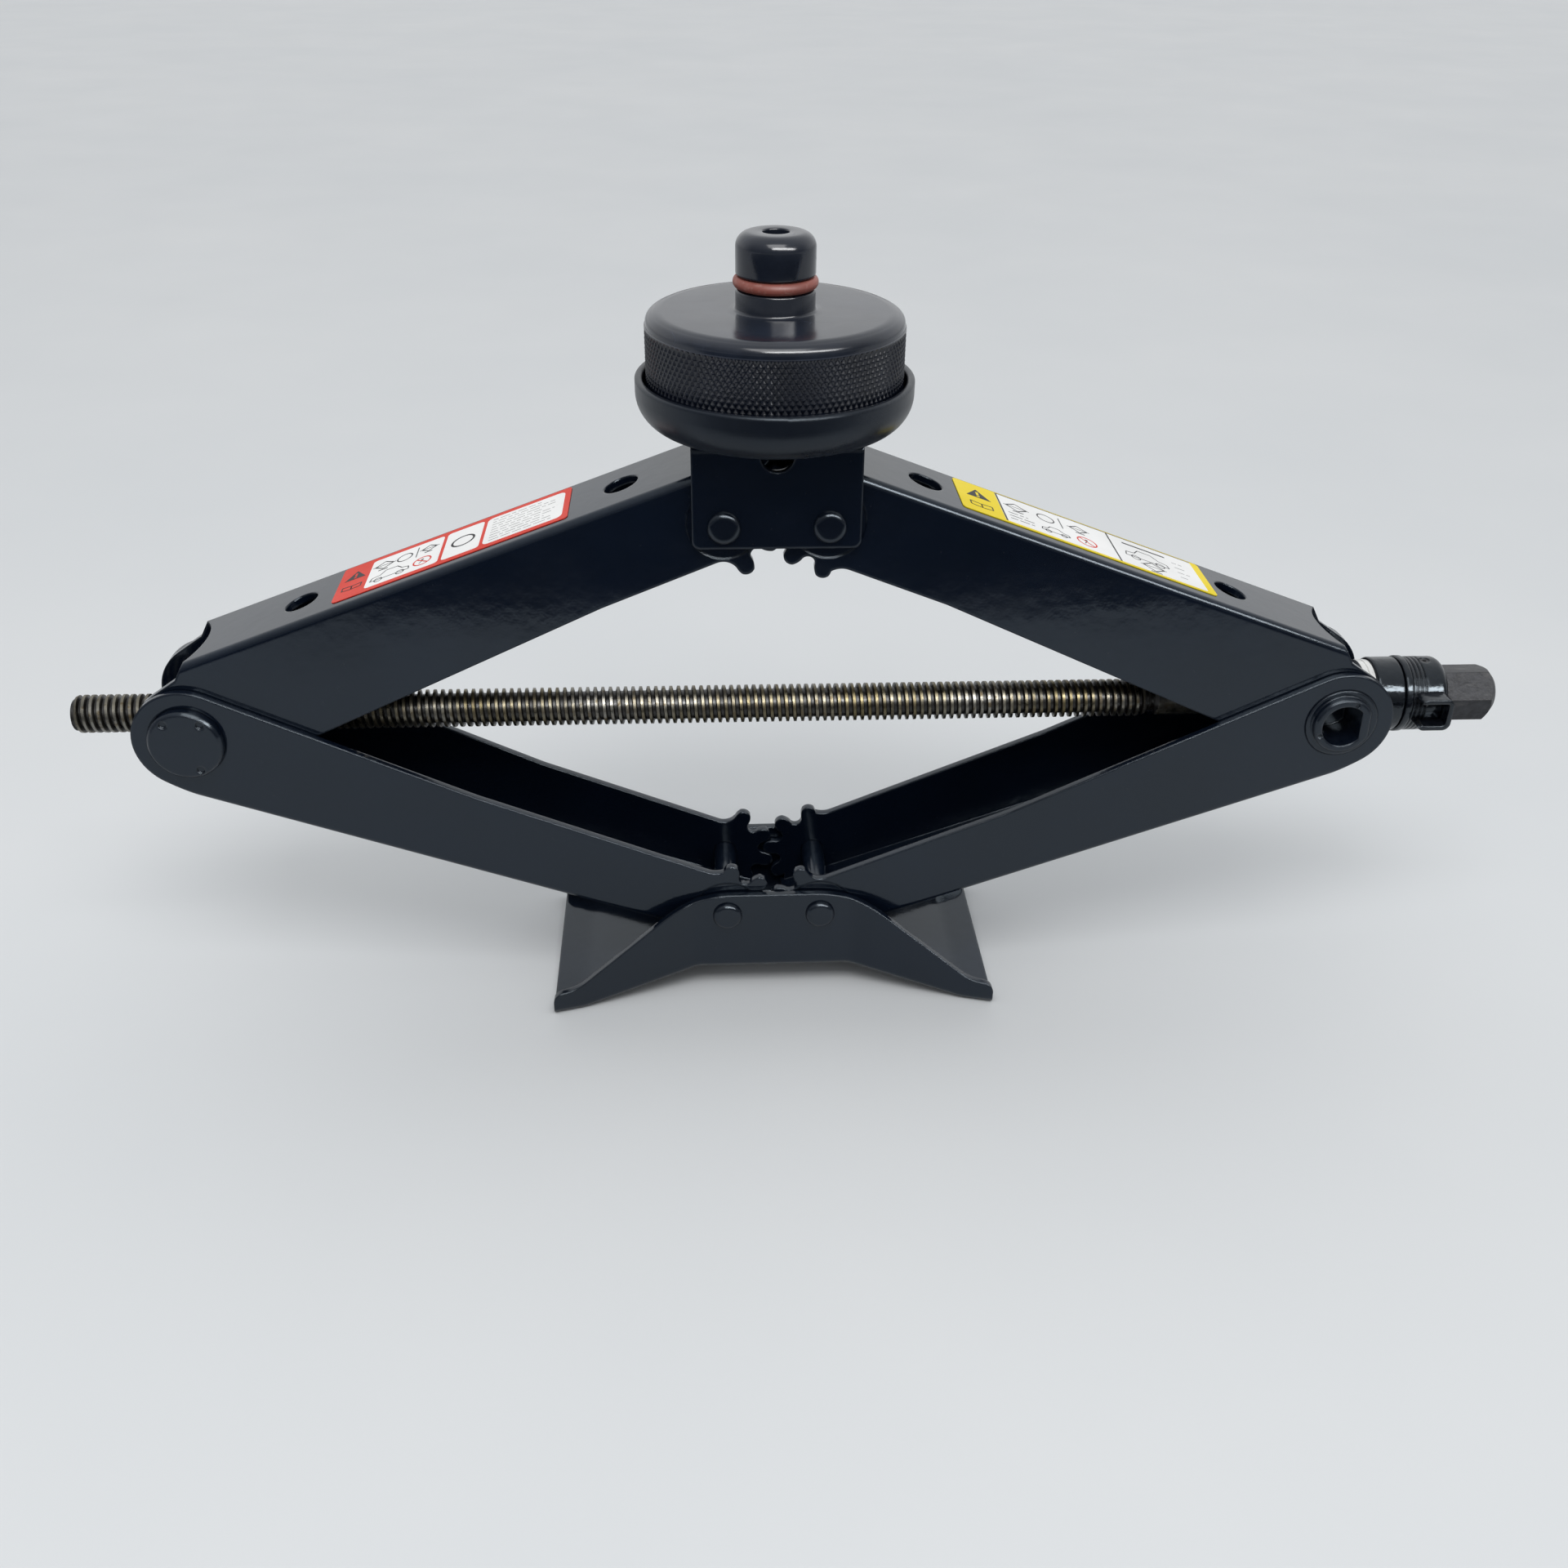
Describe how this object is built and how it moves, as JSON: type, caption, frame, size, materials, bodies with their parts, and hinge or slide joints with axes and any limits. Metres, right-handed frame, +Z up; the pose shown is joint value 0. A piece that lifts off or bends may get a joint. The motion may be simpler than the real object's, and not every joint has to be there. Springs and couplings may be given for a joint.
{
  "type": "scissor jack",
  "caption": "Hand-cranked scissor jack: geared channel arms on a folded base, a cross screw with a hex drive, and a round rubber lifting pad with a spigot in a dish",
  "frame": {"origin": "centre of the base's footprint, on the floor", "axes": "+X along the screw towards its hex drive, +Z up through the lifting pad, +Y away from the side with the lock clip"},
  "size_m": [0.4796, 0.0846, 0.2575],
  "materials": {
    "frame_paint": "gloss",
    "dish_paint": "satin",
    "pivot_paint": "gloss",
    "drive_paint": "gloss, worn",
    "pad_rubber": "satin",
    "ring_rubber": "matte",
    "screw_steel": "oiled",
    "zinc_steel": "zinc plated",
    "bearing_steel": "ground",
    "hex_steel": "blackened, weathered",
    "label_red": "printed film",
    "label_yellow": "printed film"
  },
  "bodies": {
    "base": {"base_plate": "frame_paint", "base_rivet_left": "pivot_paint", "base_rivet_right": "pivot_paint"},
    "lower_left": {"lower_arm_left": "frame_paint"},
    "lower_right": {"lower_arm_right": "frame_paint"},
    "upper_left": {"upper_arm_left": "frame_paint", "label_left": "label_red"},
    "upper_right": {"upper_arm_right": "frame_paint", "label_right": "label_yellow"},
    "nut": {"trunnion_nut": "pivot_paint"},
    "block": {"trunnion_block": "pivot_paint"},
    "top": {"top_bracket": "frame_paint", "saddle_dish": "dish_paint", "saddle_rivet": "pivot_paint", "top_rivet_left": "pivot_paint", "top_rivet_right": "pivot_paint"},
    "pad": {"jack_pad": "pad_rubber", "pad_o_ring": "ring_rubber"},
    "screw": {"lead_screw": "screw_steel", "thrust_washer_inner": "zinc_steel", "thrust_washer_outer": "zinc_steel", "bearing_cup": "drive_paint", "bearing_balls": "bearing_steel", "bearing_race": "bearing_steel", "retaining_ring": "drive_paint", "drive_collar": "drive_paint", "hex_drive": "hex_steel", "roll_pin": "hex_steel", "lock_clip": "drive_paint"}
  },
  "joints": [
    {"name": "fold", "type": "hinge", "parent": "base", "child": "lower_left", "pos_m": [-0.0162, 0, 0.0318], "axis": [0, 1, 0], "range_deg": [-16, 39.5]},
    {"name": "left_nut_turn", "type": "hinge", "parent": "lower_left", "child": "nut", "pos_m": [-0.18953, 0, 0.10331], "axis": [0, 1, 0], "range_deg": [-39.5, 16]},
    {"name": "left_knee", "type": "hinge", "parent": "lower_left", "child": "upper_left", "pos_m": [-0.18953, 0, 0.10331], "axis": [0, 1, 0], "range_deg": [-79, 32]},
    {"name": "top_level", "type": "hinge", "parent": "upper_left", "child": "top", "pos_m": [-0.0162, 0, 0.17482], "axis": [0, 1, 0], "range_deg": [-16, 39.5]},
    {"name": "right_fold", "type": "hinge", "parent": "base", "child": "lower_right", "pos_m": [0.0162, 0, 0.0318], "axis": [0, 1, 0], "range_deg": [-39.5, 16]},
    {"name": "right_block_turn", "type": "hinge", "parent": "lower_right", "child": "block", "pos_m": [0.18953, 0, 0.10331], "axis": [0, 1, 0], "range_deg": [-16, 39.5]},
    {"name": "right_knee", "type": "hinge", "parent": "lower_right", "child": "upper_right", "pos_m": [0.18953, 0, 0.10331], "axis": [0, 1, 0], "range_deg": [-32, 79]},
    {"name": "screw_spin", "type": "hinge", "parent": "block", "child": "screw", "pos_m": [0, 0, 0.10331], "axis": [1, 0, 0], "continuous": true},
    {"name": "pad_lift", "type": "slide", "parent": "top", "child": "pad", "axis": [0, 0, 1], "range_m": [0, 0.06]}
  ],
  "couplings": [
    {"joint": "left_nut_turn", "follows": "fold", "ratio": -1},
    {"joint": "left_knee", "follows": "fold", "ratio": -2},
    {"joint": "top_level", "follows": "fold", "ratio": 1},
    {"joint": "right_fold", "follows": "fold", "ratio": -1},
    {"joint": "right_block_turn", "follows": "fold", "ratio": 1},
    {"joint": "right_knee", "follows": "fold", "ratio": 2}
  ]
}
